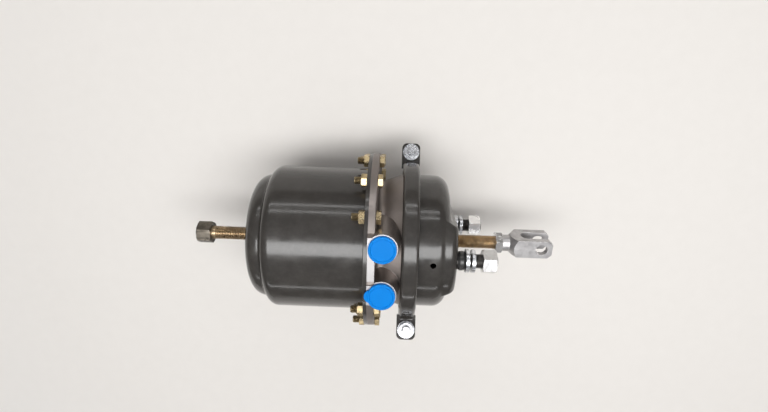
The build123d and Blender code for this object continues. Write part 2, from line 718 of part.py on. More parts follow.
def centre_flange():
    """Cast flange: bolted rim, waisted neck, clamped lip, two port bosses and the rod hub."""
    form = turned(
        [
            (x_hub, 0),
            (x_hub, HUB_OD / 2),
            (x_mate, HUB_OD / 2),
            (x_mate, rim_r),
            (x_rim, rim_r),
            (x_rim, waist_r),
            (x_neck, waist_r),
            (x_cast_lip, neck_lip_r),
            (x_cast_lip, lip_r),
            (x_bead_back, lip_r),
            (x_bead_back, 0),
        ],
        [
            (x_rim, rim_r, RIM_ROUND),
            (x_rim, waist_r, CASTING_FILLET),
            (x_neck, waist_r, NECK_BEND),
        ],
    )
    form += port_land(flange_bolt_r - FLANGE_EDGE, z_port)
    form += [port_boss(side * PORT_SPACING / 2) for side in (1, -1)]
    form -= Pos(x_mate, 0, z_port) * Box(
        RIM, 2 * PORT_LAND_HALF, rim_r, align=(Align.MIN, Align.CENTER, Align.MIN)
    )
    form -= Pos(x_mate, PORT_NOTCH_SETOUT - PORT_SPACING / 2, z_port - PORT_NOTCH_DEPTH) * Box(
        RIM, PORT_NOTCH, rim_r, align=(Align.MIN, Align.CENTER, Align.MIN)
    )
    form -= turned(
        [
            (x_floor, 0),
            (x_floor, CAVITY_R),
            (x_bead_back - CAVITY_SHOULDER, cavity_mouth_r - CAVITY_SHOULDER_STEP),
            (x_bead_back, cavity_mouth_r),
            (x_bead_back, 0),
        ],
        [(x_floor, CAVITY_R, 2 * CASTING_FILLET)],
    )
    form -= rod(hub_bore_r, x_hub, x_floor)
    form -= ring(seal_groove_r, seal_r + SEAL_CLEARANCE, x_mate, x_mate + SEAL_CORD)
    form -= round_flange(rod(flange_hole_r, x_mate, x_rim))
    z_thread = z_port - PORT_THREAD_DEPTH
    for side in (1, -1):
        form -= drilling(x_port, side * PORT_SPACING / 2, PORT_THREAD / 2, z_thread, z_port)
    form -= drilling(x_port, PORT_SPACING / 2, PORT_PASSAGE / 2, CAVITY_R / 2, z_thread)
    z_end = PARKING_PASSAGE_Z - PORT_PASSAGE / 2
    form -= drilling(x_port, -PORT_SPACING / 2, PORT_PASSAGE / 2, z_end, z_thread)
    passage = Pos(0, -PORT_SPACING / 2, PARKING_PASSAGE_Z) * rod(PARKING_PASSAGE / 2, x_mate, x_port)
    return form - passage


def port_cap():
    """Push-in plastic plug: a dished head with a raised rim, and a hollow spigot."""
    spigot_r = PORT_THREAD / 2 - CAP_CLEARANCE
    head_r = CAP_OD / 2
    plug = turned(
        [
            (-CAP_SPIGOT, spigot_r - CAP_WALL),
            (-CAP_SPIGOT, spigot_r),
            (FACE_CLEARANCE, spigot_r),
            (FACE_CLEARANCE, head_r),
            (CAP_HEIGHT, head_r),
            (CAP_HEIGHT, head_r - CAP_RIM),
            (CAP_HEIGHT - CAP_DISH, head_r - CAP_RIM - CAP_DISH),
            (CAP_HEIGHT - CAP_DISH, 0),
            (CAP_HEIGHT - CAP_DISH - CAP_WALL, 0),
            (CAP_HEIGHT - CAP_DISH - CAP_WALL, spigot_r - CAP_WALL),
        ],
        [(CAP_HEIGHT, head_r, CAP_ROUND)],
    )
    return upright(plug)


def port_cap_tab():
    """Pull tab on the side of a cap that faces the spring chamber."""
    reach = CAP_TAB_REACH - CAP_TAB / 2
    outline = Pos(X=-reach) * Circle(CAP_TAB / 2) + Pos(X=-reach / 2) * Rectangle(reach, CAP_TAB)
    outline -= Circle(CAP_OD / 2 - CAP_RIM / 2)
    return Pos(Z=CAP_TAB_RAISE) * extrude(outline, amount=CAP_TAB_THICK)


def flange_bolts():
    bolt = hexagon(FLANGE_BOLT_AF, x_rim + FACE_CLEARANCE, x_rim + FLANGE_BOLT_HEAD)
    shank = rod(FLANGE_BOLT / 2, x_rim - FLANGE_BOLT_UNDER_HEAD, x_rim + FLANGE_BOLT_HEAD / 2)
    shank = chamfer(shank.faces().sort_by(Axis.X)[0].edges(), END_CHAMFER * FLANGE_BOLT)
    return group(round_flange(bolt + shank))


def flange_nuts():
    x_seat = x_housing_flange - FACE_CLEARANCE
    nut = hexagon(FLANGE_BOLT_AF, x_seat - FLANGE_NUT, x_seat)
    nut -= rod(FLANGE_BOLT / 2 + THREAD_CLEARANCE, x_seat - FLANGE_NUT, x_seat)
    return group(round_flange(nut))


def rod_bush():
    x_from = x_hub + BUSH_SETBACK
    return ring(tube_r + SLIDING_FIT, hub_bore_r - FACE_CLEARANCE, x_from, x_from + BUSH_LENGTH)


def rod_seal():
    x_from = x_hub + BUSH_SETBACK + BUSH_LENGTH + FACE_CLEARANCE
    return ring(tube_r + SLIDING_FIT, hub_bore_r - FACE_CLEARANCE, x_from, x_from + ROD_SEAL)


# ---- spring chamber

def spring_housing():
    """Deep-drawn steel can: bolted flange, cylinder, sloped shoulder, crease and dome."""
    skin = [
        (x_housing_flange, rim_r),
        (x_housing_flange, housing_r),
        (x_crease + SHOULDER, housing_r),
        (x_crease, dome_r),
        (x_dome, dome_r),
        (x_dome, RELEASE_SPIGOT / 2),
    ]
    can = pressed(skin, HOUSING_WALL, [SHEET_NOOK, HOUSING_CORNER, CREASE_BEND, DOME_CORNER])
    return can - round_flange(rod(flange_hole_r, x_housing_flange, x_mate))


def housing_seal():
    """Round rubber cord in the groove of the cast flange."""
    half_cord = SEAL_CORD / 2 - FACE_CLEARANCE
    cord = Pos(x_mate + SEAL_CORD / 2, seal_r - SEAL_CORD / 2) * Circle(half_cord)
    return revolve(cord, Axis.X, 360)


def release_nut():
    """Welded-in nut of the release bolt: its spigot fills the hole in the dome."""
    bore = RELEASE_BOLT / 2 + THREAD_CLEARANCE
    x_seat = x_dome_inside + FACE_CLEARANCE
    spigot_r = RELEASE_SPIGOT / 2 - FACE_CLEARANCE
    return turned(
        [
            (x_dome - RELEASE_PROUD, bore),
            (x_dome - RELEASE_PROUD, spigot_r),
            (x_seat, spigot_r),
            (x_seat, RELEASE_NUT_OD / 2),
            (x_seat + RELEASE_NUT, RELEASE_NUT_OD / 2),
            (x_seat + RELEASE_NUT, bore),
        ]
    )


def release_bolt():
    """Long bolt with a hexagon head outside the dome and a round foot inside the piston."""
    r = RELEASE_BOLT / 2
    stem = turned(
        [
            (x_head - RELEASE_HEAD / 2, 0),
            (x_head - RELEASE_HEAD / 2, r),
            (x_foot, r),
            (x_foot, FOOT_OD / 2),
            (x_foot + FOOT, FOOT_OD / 2),
            (x_foot + FOOT, 0),
        ]
    )
    return hexagon(RELEASE_AF, x_head - RELEASE_HEAD, x_head) + stem


def release_thrust_washer():
    x_from = x_tube_seat + THRUST_CLEARANCE
    return ring(RELEASE_BOLT / 2 + THREAD_CLEARANCE, FOOT_OD / 2, x_from, x_from + THRUST_WASHER)


def spring_piston():
    """Die-cast piston: web, skirt with two ring grooves, and a hub closed round the bolt."""
    skirt_bore = piston_r - PISTON_SKIRT_WALL
    x_front = x_piston + PISTON_SKIRT_FRONT
    x_back = x_front - PISTON_SKIRT
    hub_r = PISTON_HUB_OD / 2
    stem_hole = RELEASE_BOLT / 2 + COLLAR_CLEARANCE
    piston = turned(
        [
            (x_collar_back, stem_hole),
            (x_collar_back, hub_r),
            (x_web_back, hub_r),
            (x_web_back, skirt_bore),
            (x_back, skirt_bore),
            (x_back, piston_r),
            (x_front, piston_r),
            (x_front, skirt_bore),
            (x_piston, skirt_bore),
            (x_piston, tube_r + FACE_CLEARANCE),
            (x_tube_seat, tube_r + FACE_CLEARANCE),
            (x_tube_seat, stem_hole),
        ],
        [(x_web_back, hub_r, PISTON_FILLET), (x_web_back, skirt_bore, PISTON_FILLET)],
    )
    for x, width in ((x_seal_groove, SEAL_GROOVE), (x_guide_groove, GUIDE_GROOVE)):
        piston -= ring(piston_r - GROOVE_DEPTH, housing_bore_r, x, x + width)
    return piston


def piston_ring(x, width):
    """Ring that fills a groove of the piston and slides in the housing."""
    return ring(
        piston_r - GROOVE_DEPTH + FACE_CLEARANCE,
        housing_bore_r - SLIDING_FIT,
        x + FACE_CLEARANCE,
        x + width - FACE_CLEARANCE,
    )


def piston_tube():
    return ring(tube_r - TUBE_WALL, tube_r, x_tube_seat + FACE_CLEARANCE, x_thrust_pad - FACE_CLEARANCE)


def thrust_pad():
    """Plug in the tube's end, with the round pad that pushes on the diaphragm."""
    plug_r = tube_r - TUBE_WALL - FACE_CLEARANCE
    return rod(THRUST_PAD_OD / 2, x_thrust_pad, x_thrust_pad + THRUST_PAD) + rod(
        plug_r, x_thrust_pad - PAD_PLUG, x_thrust_pad
    )


def power_spring():
    half_wire = POWER_WIRE / 2 + SPRING_CLEARANCE
    x_from, x_to = x_dome_inside + half_wire, x_web_back - half_wire
    return coil(POWER_SMALL_R, power_large_r, x_from, x_to, POWER_TURNS, POWER_WIRE)


# ---- the whole chamber, one file for each node

nodes = {
    "service_housing": service_housing(),
    "rod_guide": rod_guide(),
    "mounting_studs": mounting_studs(),
    "stud_collars": stud_collars(),
    "stud_washers": stud_washers(),
    "stud_nuts": stud_nuts(),
    "diaphragm": diaphragm(),
    "push_plate": push_plate(),
    "push_rod": push_rod(),
    "return_spring": return_spring(),
    "lock_nut": lock_nut(),
    "clevis": clevis(),
    "clamp_half_upper": clamp_half(0),
    "clamp_half_lower": clamp_half(180),
    "clamp_bolts": clamp_bolts(),
    "clamp_washers": clamp_washers(),
    "clamp_nuts": clamp_nuts(),
    "centre_flange": centre_flange(),
    "port_cap_service": Pos(x_port, PORT_SPACING / 2, z_port) * port_cap(),
    "port_cap_parking": Pos(x_port, -PORT_SPACING / 2, z_port) * (port_cap() + port_cap_tab()),
    "flange_bolts": flange_bolts(),
    "flange_nuts": flange_nuts(),
    "rod_bush": rod_bush(),
    "rod_seal": rod_seal(),
    "spring_housing": spring_housing(),
    "housing_seal": housing_seal(),
    "release_nut": release_nut(),
    "release_bolt": release_bolt(),
    "release_thrust_washer": release_thrust_washer(),
    "spring_piston": spring_piston(),
    "piston_seal": piston_ring(x_seal_groove, SEAL_GROOVE),
    "piston_guide_ring": piston_ring(x_guide_groove, GUIDE_GROOVE),
    "piston_tube": piston_tube(),
    "thrust_pad": thrust_pad(),
    "power_spring": power_spring(),
}

os.makedirs("parts", exist_ok=True)
for name, shape in nodes.items():
    export_step(shape, f"parts/{name}.step")
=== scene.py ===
import math

import bpy
import numpy as np
from mathutils import Matrix, Vector


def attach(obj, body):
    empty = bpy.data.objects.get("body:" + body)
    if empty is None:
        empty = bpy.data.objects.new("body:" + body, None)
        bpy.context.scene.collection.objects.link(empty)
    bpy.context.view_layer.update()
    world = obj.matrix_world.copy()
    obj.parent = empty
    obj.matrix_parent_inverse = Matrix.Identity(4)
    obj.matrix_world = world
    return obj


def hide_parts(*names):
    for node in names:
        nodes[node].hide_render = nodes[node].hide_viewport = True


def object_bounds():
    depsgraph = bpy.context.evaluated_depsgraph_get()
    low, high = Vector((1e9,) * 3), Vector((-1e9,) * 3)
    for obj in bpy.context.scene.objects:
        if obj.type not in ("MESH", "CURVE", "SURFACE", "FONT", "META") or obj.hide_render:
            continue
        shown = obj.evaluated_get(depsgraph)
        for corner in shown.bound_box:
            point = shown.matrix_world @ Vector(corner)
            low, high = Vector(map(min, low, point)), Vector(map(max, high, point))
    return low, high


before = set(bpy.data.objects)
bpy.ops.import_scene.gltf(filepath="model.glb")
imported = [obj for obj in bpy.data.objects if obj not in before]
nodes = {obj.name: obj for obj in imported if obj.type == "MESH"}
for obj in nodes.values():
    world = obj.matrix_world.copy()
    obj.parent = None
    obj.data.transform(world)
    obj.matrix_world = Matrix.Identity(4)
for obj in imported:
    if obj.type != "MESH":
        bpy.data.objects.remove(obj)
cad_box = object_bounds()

MM = 0.001


# ---- Camera
# The chamber lies on its side and is looked at from above, a little from the side away from
# the lower port, through a wide lens held about 0.6 m over it.

LENS = 23.4375                                  # mm, on a 36 mm wide sensor
CAMERA_PLACE = Vector((-70.1, 215.9, 571.4)) * MM
CAMERA_LEAN = math.radians(17)                  # from straight down, towards +Y
CAMERA_YAW = 0.022                              # towards the clevis
CAMERA_ROLL = 0.0353                            # clevis end lower in the view

towards_camera = Vector((math.tan(CAMERA_YAW), math.sin(CAMERA_LEAN), math.cos(CAMERA_LEAN))).normalized()
level_right = (Vector((1, 0, 0)) - towards_camera.x * towards_camera).normalized()
level_up = towards_camera.cross(level_right)
camera_right = math.cos(CAMERA_ROLL) * level_right + math.sin(CAMERA_ROLL) * level_up
camera_up = math.cos(CAMERA_ROLL) * level_up - math.sin(CAMERA_ROLL) * level_right

camera_data = bpy.data.cameras.new("camera")
camera_data.lens = LENS
camera_data.sensor_width = 36
camera_data.clip_start = 0.01
camera = bpy.data.objects.new("camera", camera_data)
turn = Matrix((camera_right, camera_up, towards_camera)).transposed()
camera.matrix_world = Matrix.Translation(CAMERA_PLACE) @ turn.to_4x4()
bpy.context.scene.collection.objects.link(camera)
bpy.context.scene.camera = camera
bpy.context.scene.view_settings.view_transform = "Standard"


# ---- Floor and light
# A pale matt board under the chamber, a ceiling panel straight above it, thin strips to both
# sides, and a grey room that is darker low down.

def add(tree, kind, sockets=None, **settings):
    """A shader node. sockets holds, by name or number, a value or the output that feeds it."""
    made = tree.nodes.new("ShaderNode" + kind)
    for key, value in settings.items():
        setattr(made, key, value)
    for key, value in (sockets or {}).items():
        if isinstance(value, bpy.types.NodeSocket):
            tree.links.new(value, made.inputs[key])
        else:
            made.inputs[key].default_value = value
    return made


def material(name):
    """A new material with only an output: (material, its node tree)."""
    made = bpy.data.materials.new(name)
    made.use_nodes = True
    made.node_tree.nodes.clear()
    return made, made.node_tree


def finish_with(tree, shader):
    tree.links.new(shader.outputs[0], add(tree, "OutputMaterial").inputs["Surface"])


FLOOR_SIZE = 8.0
FLOOR_FADE = (0.6, 1.8)         # from the middle: lit board up to the first, background beyond the second
BACKGROUND = (0.86, 0.85, 0.83, 1)
FLOOR_COLOUR = (0.80, 0.77, 0.73, 1)
FLOOR_FIBRE = (0.77, 0.74, 0.70, 1)
ROOM_LOW = (0.16, 0.15, 0.145, 1)
ROOM_HIGH = (0.40, 0.40, 0.41, 1)

floor_z = cad_box[0].z
half = FLOOR_SIZE / 2
floor_mesh = bpy.data.meshes.new("floor")
corners = [(-half, -half, floor_z), (half, -half, floor_z), (half, half, floor_z), (-half, half, floor_z)]
floor_mesh.from_pydata(corners, [], [(0, 1, 2, 3)])
floor = bpy.data.objects.new("floor", floor_mesh)
bpy.context.scene.collection.objects.link(floor)
board, tree = material("pale board")
place = add(tree, "TexCoord").outputs["Object"]
fibre = add(tree, "TexNoise", {"Vector": place, "Scale": 60.0, "Detail": 6.0}).outputs["Fac"]
tint = add(tree, "MixRGB", {"Fac": fibre, "Color1": FLOOR_COLOUR, "Color2": FLOOR_FIBRE}).outputs[0]
lit = add(tree, "BsdfPrincipled", {"Base Color": tint, "Roughness": 0.85})
far = add(tree, "VectorMath", {0: place}, operation="LENGTH").outputs["Value"]
fade = {"Value": far, "From Min": FLOOR_FADE[0], "From Max": FLOOR_FADE[1]}
far = add(tree, "MapRange", fade).outputs["Result"]
seen = add(tree, "LightPath").outputs["Is Camera Ray"]
fade = add(tree, "Math", {0: far, 1: seen}, operation="MULTIPLY").outputs[0]
haze = add(tree, "Emission", {"Color": BACKGROUND})
finish_with(tree, add(tree, "MixShader", {0: fade, 1: lit.outputs[0], 2: haze.outputs[0]}))
floor_mesh.materials.append(board)

world = bpy.data.worlds.new("room")
world.use_nodes = True
bpy.context.scene.world = world
tree = world.node_tree
tree.nodes.clear()
seen = add(tree, "LightPath").outputs["Is Camera Ray"]
height = add(tree, "SeparateXYZ", {0: add(tree, "TexCoord").outputs["Generated"]}).outputs["Z"]
lift = add(tree, "MapRange", {"Value": height, "From Min": 0.15, "From Max": 0.95}).outputs["Result"]
walls = add(tree, "MixRGB", {"Fac": lift, "Color1": ROOM_LOW, "Color2": ROOM_HIGH}).outputs[0]
room = add(tree, "Background", {"Color": walls, "Strength": 1.0})
behind = add(tree, "Background", {"Color": BACKGROUND, "Strength": 1.0})
both = add(tree, "MixShader", {0: seen, 1: room.outputs[0], 2: behind.outputs[0]})
tree.links.new(both.outputs[0], add(tree, "OutputWorld").inputs["Surface"])


def panel(name, lean, distance, x_from, x_to, width, glow, gleam):
    """A light panel that runs along X, from x_from to x_to.

    lean is the angle from straight above towards +Y, in degrees. glow is how bright it is on
    everything, and gleam how much brighter it is in reflections.
    """
    length = x_to - x_from
    angle = math.radians(lean)
    away = Vector((0, math.sin(angle), math.cos(angle)))
    middle = Vector(((x_from + x_to) / 2, 0, 0)) + distance * away
    for part, strength in (("", glow), (" gleam", gleam)):
        light = bpy.data.lights.new(name + part, "AREA")
        light.shape = "RECTANGLE"
        light.size, light.size_y = length, width
        light.energy = strength * math.pi * length * width
        made = bpy.data.objects.new(name + part, light)
        made.matrix_world = Matrix.Translation(middle) @ Matrix.Rotation(-angle, 4, "X")
        made.visible_diffuse = part == ""
        bpy.context.scene.collection.objects.link(made)


panel("ceiling panel", 0, 1.6, -0.95, 1.25, 0.56, glow=6.6, gleam=17.0)
panel("near strip", 57, 1.5, -1.1, 0.5, 0.035, glow=10.0, gleam=14.0)
panel("far strip", 68, 1.5, -1.1, 0.5, 0.045, glow=8.0, gleam=10.0)
panel("low strip", -67, 1.5, -1.1, 0.5, 0.05, glow=6.0, gleam=6.0)


# ---- Painted pressings
# The spring housing, the service housing and the clamp ring are deep-drawn or rolled steel,
# dipped in a warm dark grey paint that dries to a semi-gloss with a light orange peel.

def group(name, ins, outs):
    """A shader node group: (group, its input node, its output node)."""
    made = bpy.data.node_groups.new(name, "ShaderNodeTree")
    for key, value in ins.items():
        made.interface.new_socket(key, in_out="INPUT", socket_type="NodeSocketFloat").default_value = value
    for key, kind in outs.items():
        made.interface.new_socket(key, in_out="OUTPUT", socket_type="NodeSocket" + kind)
    return made, made.nodes.new("NodeGroupInput"), made.nodes.new("NodeGroupOutput")


def maths(tree, operation, *values):
    return add(tree, "Math", dict(enumerate(values)), operation=operation).outputs[0]


def times(tree, first, second):
    return maths(tree, "MULTIPLY", first, second)


def slope(tree, value, low, high, to_low=0.0, to_high=1.0):
    """to_low below low, to_high above high, a straight line between them."""
    sockets = {"Value": value, "From Min": low, "From Max": high, "To Min": to_low, "To Max": to_high}
    return add(tree, "MapRange", sockets).outputs["Result"]


def mix(tree, share, first, second):
    return add(tree, "MixRGB", {"Fac": share, "Color1": first, "Color2": second}).outputs[0]


def noise(tree, place, scale, detail=3.0, rough=0.5):
    """Noise from 0 to 1, with about scale grains to a metre."""
    sockets = {"Vector": place, "Scale": scale, "Detail": detail, "Roughness": rough}
    return add(tree, "TexNoise", sockets).outputs["Fac"]


def bumped(tree, height, distance, normal):
    return add(tree, "Bump", {"Height": height, "Distance": distance, "Normal": normal}).outputs[0]


def handling_tool():
    """What handling leaves on a surface, as a group.

    Soft is the normal with rounded edges. Rub, Dust and Scratch are the shares of rubbed edge,
    settled dust and hair scratches, and Mottle is a broad unevenness.
    """
    tool, ins, outs = group(
        "handling",
        {"Radius": 0.5 * MM, "Edge": 0.4, "Dust": 0.1, "Scratch": 0.3},
        {"Soft": "Vector", "Rub": "Float", "Dust": "Float", "Mottle": "Float", "Scratch": "Float"},
    )

    def give(name, value):
        tool.links.new(value, outs.inputs[name])

    place = add(tool, "TexCoord").outputs["Object"]
    flat = add(tool, "NewGeometry").outputs["Normal"]
    soft = add(tool, "Bevel", {"Radius": ins.outputs["Radius"]}, samples=4).outputs[0]
    give("Soft", soft)
    close = add(tool, "VectorMath", {0: soft, 1: flat}, operation="DOT_PRODUCT").outputs["Value"]
    on_edge = slope(tool, close, 0.995, 0.90)
    rubbed = times(tool, on_edge, slope(tool, noise(tool, place, 240, 4), 0.4, 0.6))
    give("Rub", times(tool, rubbed, ins.outputs["Edge"]))
    up = add(tool, "SeparateXYZ", {0: flat}).outputs["Z"]
    on_top = slope(tool, up, 0.1, 0.9)
    settled = times(tool, on_top, slope(tool, noise(tool, place, 55, 9, 0.7), 0.42, 0.8))
    give("Dust", times(tool, settled, ins.outputs["Dust"]))
    give("Mottle", slope(tool, noise(tool, place, 16), 0.35, 0.65))
    stretch = {"Vector": place, "Scale": (20, 900, 260), "Rotation": (0.3, 0.5, 0.9)}
    drawn = add(tool, "Mapping", stretch).outputs[0]
    hair = slope(tool, noise(tool, drawn, 1.0, 2), 0.70, 0.76)
    here = slope(tool, noise(tool, place, 25), 0.52, 0.66)
    give("Scratch", times(tool, times(tool, hair, here), ins.outputs["Scratch"]))
    return tool


handling = handling_tool()


def handled(tree, **sockets):
    """The handling group placed in a material, with this material's own values: its outputs."""
    return add(tree, "Group", sockets, node_tree=handling).outputs


PAINT = (0.036, 0.033, 0.030, 1)
PAINT_LIGHT = (0.044, 0.040, 0.036, 1)
PAINT_RUBBED = (0.13, 0.12, 0.11, 1)
DUST = (0.26, 0.235, 0.21, 1)


def paint():
    made, tree = material("dark grey paint")
    place = add(tree, "TexCoord").outputs["Object"]
    worn = handled(tree, Edge=0.5, Dust=0.10, Scratch=0.25)
    colour = mix(tree, worn["Mottle"], PAINT, PAINT_LIGHT)
    colour = mix(tree, worn["Dust"], colour, DUST)
    colour = mix(tree, maths(tree, "MAXIMUM", worn["Rub"], worn["Scratch"]), colour, PAINT_RUBBED)
    rough = slope(tree, noise(tree, place, 90), 0.3, 0.7, 0.11, 0.15)
    rough = maths(tree, "ADD", rough, worn["Dust"])
    peel = bumped(tree, noise(tree, place, 420, 2), 0.012 * MM, worn["Soft"])
    finish_with(tree, add(tree, "BsdfPrincipled", {"Base Color": colour, "Roughness": rough, "Normal": peel}))
    return made


def coat(finish, *names):
    """Gives CAD nodes a finish."""
    for name in names:
        slots = nodes[name].data.materials
        slots.clear()
        slots.append(finish)


coat(paint(), "spring_housing", "service_housing", "clamp_half_upper", "clamp_half_lower")


# ---- Cast flange
# Between the chambers sits a pressure die-cast aluminium flange with a dull, slightly grainy
# skin. Its rim is turned and the land under the air ports is milled, so both are brighter.

CAST = (0.24, 0.212, 0.198, 1)
CAST_DARK = (0.17, 0.147, 0.133, 1)
CAST_CUT = (0.30, 0.29, 0.29, 1)
RIM_TURNED = (102.4, 102.8)     # radius, mm: the skin ends and the turned rim starts
LAND_MILLED = (100.7, 100.9)    # height, mm: the same for the port land
RIM_CLEAN = 0.06                # share of the cut metal's colour on the rim, which has dulled


def cast_flange():
    made, tree = material("die-cast aluminium")
    place = add(tree, "TexCoord").outputs["Object"]
    worn = handled(tree, Edge=0.9, Dust=0.12, Scratch=0.2, Radius=0.6 * MM)
    x, y, z = add(tree, "SeparateXYZ", {0: place}).outputs
    radius = maths(tree, "SQRT", maths(tree, "ADD", times(tree, y, y), times(tree, z, z)))
    turned = slope(tree, radius, RIM_TURNED[0] * MM, RIM_TURNED[1] * MM)
    milled = slope(tree, z, LAND_MILLED[0] * MM, LAND_MILLED[1] * MM)
    cut = maths(tree, "MAXIMUM", times(tree, turned, RIM_CLEAN), milled)
    colour = mix(tree, worn["Mottle"], CAST_DARK, CAST)
    colour = mix(tree, worn["Dust"], colour, DUST)
    colour = mix(tree, maths(tree, "MAXIMUM", cut, worn["Rub"]), colour, CAST_CUT)
    stretched = add(tree, "Mapping", {"Vector": place, "Scale": (2600, 40, 40)}).outputs[0]
    grain = mix(tree, cut, noise(tree, place, 900, 4), noise(tree, stretched, 1.0))
    rough = slope(tree, cut, 0.0, 1.0, 0.38, 0.33)
    rough = maths(tree, "ADD", rough, times(tree, noise(tree, place, 130), 0.08))
    height = slope(tree, cut, 0.0, 1.0, 1.0, 0.15)
    relief = {"Height": grain, "Strength": height, "Distance": 0.06 * MM, "Normal": worn["Soft"]}
    skin = add(tree, "Bump", relief)
    look = {"Base Color": colour, "Metallic": 0.92, "Roughness": rough, "Normal": skin.outputs[0]}
    finish_with(tree, add(tree, "BsdfPrincipled", look))
    return made


coat(cast_flange(), "centre_flange")


# ---- Port caps
# Both air ports are closed by push-in caps moulded in bright blue polyethylene. They are
# smooth and slightly waxy. The lower one has a pull tab on the side of the spring chamber.

CAP_BLUE = (0.000, 0.23, 0.72, 1)
CAP_BLUE_DEEP = (0.000, 0.20, 0.66, 1)
CAP_RUBBED = (0.06, 0.38, 0.85, 1)


def cap_plastic():
    made, tree = material("blue cap plastic")
    place = add(tree, "TexCoord").outputs["Object"]
    worn = handled(tree, Edge=0.5, Dust=0.05, Scratch=0.4, Radius=0.4 * MM)
    colour = mix(tree, noise(tree, place, 120), CAP_BLUE_DEEP, CAP_BLUE)
    colour = mix(tree, maths(tree, "MAXIMUM", worn["Rub"], worn["Scratch"]), colour, CAP_RUBBED)
    rough = slope(tree, noise(tree, place, 300), 0.3, 0.7, 0.40, 0.50)
    wax = bumped(tree, noise(tree, place, 260, 2), 0.02 * MM, worn["Soft"])
    look = {"Base Color": colour, "Roughness": rough, "Normal": wax, "Specular IOR Level": 0.05}
    finish_with(tree, add(tree, "BsdfPrincipled", look))
    return made


coat(cap_plastic(), "port_cap_service", "port_cap_parking")


# ---- Yellow plated screws
# The flange bolts and their nuts are cold-headed steel, zinc plated and yellow passivated, so
# the colour wanders from straw to olive brown. The bolt ends have a rolled M8 thread.

YELLOW_ZINC = (0.62, 0.49, 0.28, 1), (0.34, 0.27, 0.16, 1), (0.85, 0.80, 0.66, 1)
# the colour of grime patches; metal() also uses it as painted shade in bumped thread roots
GRIME_AND_ROOT_SHADE = (0.045, 0.038, 0.030, 1)


def metal(name, colours, rough, grain=0.02, grime=0.5, thread=None, edge=0.8, shine=1.0):
    """A metal surface with rubbed edges, and grime in patches.

    colours are the light and the dark one that it wanders between and that of its rubbed
    edges. rough is its least and most roughness, grain its bump in mm. thread is (direction,
    start, pitch) in mm: beyond start along that direction the surface has thread ridges, and
    their roots are darkened as painted shade, since the bumped ridges cast no shadow.
    """
    light, dark, bright = colours
    made, tree = material(name)
    place = add(tree, "TexCoord").outputs["Object"]
    worn = handled(tree, Edge=edge, Dust=0.08, Scratch=0.5, Radius=0.35 * MM)
    colour = mix(tree, slope(tree, noise(tree, place, 110, 5), 0.35, 0.65), dark, light)
    colour = mix(tree, maths(tree, "MAXIMUM", worn["Rub"], worn["Scratch"]), colour, bright)
    dirty = times(tree, slope(tree, noise(tree, place, 60, 8, 0.65), 0.48, 0.72), grime)
    colour = mix(tree, dirty, colour, GRIME_AND_ROOT_SHADE)
    uneven = slope(tree, noise(tree, place, 210), 0.3, 0.7, *rough)
    uneven = maths(tree, "ADD", uneven, times(tree, dirty, 0.35))
    normal = bumped(tree, noise(tree, place, 1100, 4), grain * MM, worn["Soft"])
    if thread:
        direction, start, pitch = thread
        along = add(tree, "VectorMath", {0: place, 1: direction}, operation="DOT_PRODUCT").outputs["Value"]
        tooth = maths(tree, "PINGPONG", along, pitch / 2 * MM)
        on = slope(tree, along, (start - 0.2) * MM, start * MM)
        ridge = times(tree, tooth, on)
        normal = bumped(tree, ridge, 1.0, normal)
        # painted shade: the thread roots are darkened towards the grime colour, standing in for the shadow
        # the bump cannot cast
        painted_root_shade = times(tree, slope(tree, tooth, pitch * 0.2 * MM, 0.0), on)
        colour = mix(tree, times(tree, painted_root_shade, 0.7), colour, GRIME_AND_ROOT_SHADE)
    look = {"Base Color": colour, "Metallic": shine, "Roughness": uneven, "Normal": normal}
    finish_with(tree, add(tree, "BsdfPrincipled", look))
    return made


bolt_thread = ((-1, 0, 0), 107.4, 1.25)
coat(metal("yellow zinc, M8", YELLOW_ZINC, (0.22, 0.36), thread=bolt_thread), "flange_bolts")
coat(metal("yellow zinc nuts", YELLOW_ZINC, (0.22, 0.36)), "flange_nuts")


# ---- Clamp bolts
# The clamp ring is drawn shut by two M10 bolts with plain washers, all white zinc plated and
# cleaner than the rest. Their ends stand 4 mm out of the nuts.

ZINC_NEW = (0.92, 0.92, 0.93, 1)
WHITE_ZINC = (0.74, 0.75, 0.77, 1), (0.52, 0.53, 0.55, 1), ZINC_NEW
CLAMP_TURN = math.radians(26)   # of the bolts' direction, from +Z towards +Y

clamp_thread = ((0.0, math.sin(CLAMP_TURN), math.cos(CLAMP_TURN)), 19.1, 1.5)
coat(metal("white zinc, M10", WHITE_ZINC, (0.18, 0.30), grime=0.3, thread=clamp_thread), "clamp_bolts")
clean_zinc = metal("white zinc", WHITE_ZINC, (0.18, 0.32), grime=0.3)
coat(clean_zinc, "clamp_nuts", "clamp_washers", "stud_washers")


# ---- Mounting studs
# Two M16 x 1.5 studs are pressed through the bowl's end from inside. Their heads are cut flat
# where the bowl's corner is in the way. Their thread is oiled and nearly black.

SIDES = 72
ANGLE = np.arange(SIDES) * (2 * np.pi / SIDES)
THREAD_ROWS = 10                # to a turn
CREST_FLAT = 1 / 8              # of the pitch, as the root's
ROOT_FLAT = 1 / 4
FINE_THREAD = (1.5, 0.92)       # pitch and depth of M16 x 1.5, mm


